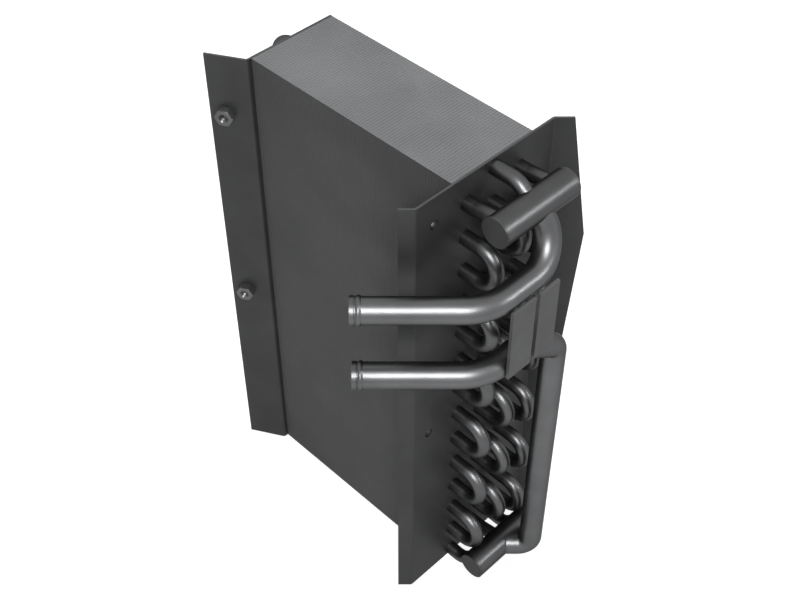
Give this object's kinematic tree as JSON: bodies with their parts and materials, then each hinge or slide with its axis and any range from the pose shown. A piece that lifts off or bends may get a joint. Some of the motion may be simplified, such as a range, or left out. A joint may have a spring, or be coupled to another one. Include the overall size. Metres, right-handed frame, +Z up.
{
  "type": "heater coil",
  "caption": "Finned tube heater coil with flanged sheet-metal end plates, hairpin tubes, return bends, round headers and bent hose pipes held by straps",
  "frame": {"origin": "centre of the fin pack's base, which is also the level that both plates end at", "axes": "+Z up along the coil's height, +X along the tubes from the hairpin side to the header side, +Y with the air from the front face to the rear face"},
  "size_m": [0.2476, 0.1803, 0.3556],
  "materials": {
    "fins": "matt",
    "plate_steel": "satin",
    "nut_steel": "satin",
    "circuit_tube": "polished",
    "hose_pipe_metal": "polished",
    "header_metal": "polished",
    "cap_metal": "satin",
    "strap_metal": "satin"
  },
  "bodies": {
    "root": {"fin_pack": "fins", "left_end_plate": "plate_steel", "right_tube_plate": "plate_steel", "left_weld_nuts": "nut_steel", "right_weld_nuts": "nut_steel", "hairpin_front_1": "circuit_tube", "hairpin_front_2": "circuit_tube", "hairpin_front_3": "circuit_tube", "hairpin_front_4": "circuit_tube", "hairpin_front_5": "circuit_tube", "hairpin_front_6": "circuit_tube", "hairpin_front_7": "circuit_tube", "return_bend_front_1": "circuit_tube", "return_bend_front_2": "circuit_tube", "return_bend_front_3": "circuit_tube", "return_bend_front_4": "circuit_tube", "return_bend_front_5": "circuit_tube", "return_bend_front_6": "circuit_tube", "upper_feeder_front": "circuit_tube", "lower_feeder_front": "circuit_tube", "hairpin_middle_1": "circuit_tube", "hairpin_middle_2": "circuit_tube", "hairpin_middle_3": "circuit_tube", "hairpin_middle_4": "circuit_tube", "hairpin_middle_5": "circuit_tube", "hairpin_middle_6": "circuit_tube", "hairpin_middle_7": "circuit_tube", "return_bend_middle_1": "circuit_tube", "return_bend_middle_2": "circuit_tube", "return_bend_middle_3": "circuit_tube", "return_bend_middle_4": "circuit_tube", "return_bend_middle_5": "circuit_tube", "return_bend_middle_6": "circuit_tube", "upper_feeder_middle": "circuit_tube", "lower_feeder_middle": "circuit_tube", "hairpin_rear_1": "circuit_tube", "hairpin_rear_2": "circuit_tube", "hairpin_rear_3": "circuit_tube", "hairpin_rear_4": "circuit_tube", "hairpin_rear_5": "circuit_tube", "hairpin_rear_6": "circuit_tube", "hairpin_rear_7": "circuit_tube", "return_bend_rear_1": "circuit_tube", "return_bend_rear_2": "circuit_tube", "return_bend_rear_3": "circuit_tube", "return_bend_rear_4": "circuit_tube", "return_bend_rear_5": "circuit_tube", "return_bend_rear_6": "circuit_tube", "upper_feeder_rear": "circuit_tube", "lower_feeder_rear": "circuit_tube", "upper_hose_pipe": "hose_pipe_metal", "lower_hose_pipe": "hose_pipe_metal", "upper_header": "header_metal", "lower_header": "header_metal", "upper_header_caps": "cap_metal", "lower_header_caps": "cap_metal", "pipe_strap_front": "strap_metal", "pipe_strap_rear": "strap_metal"}
  },
  "joints": []
}
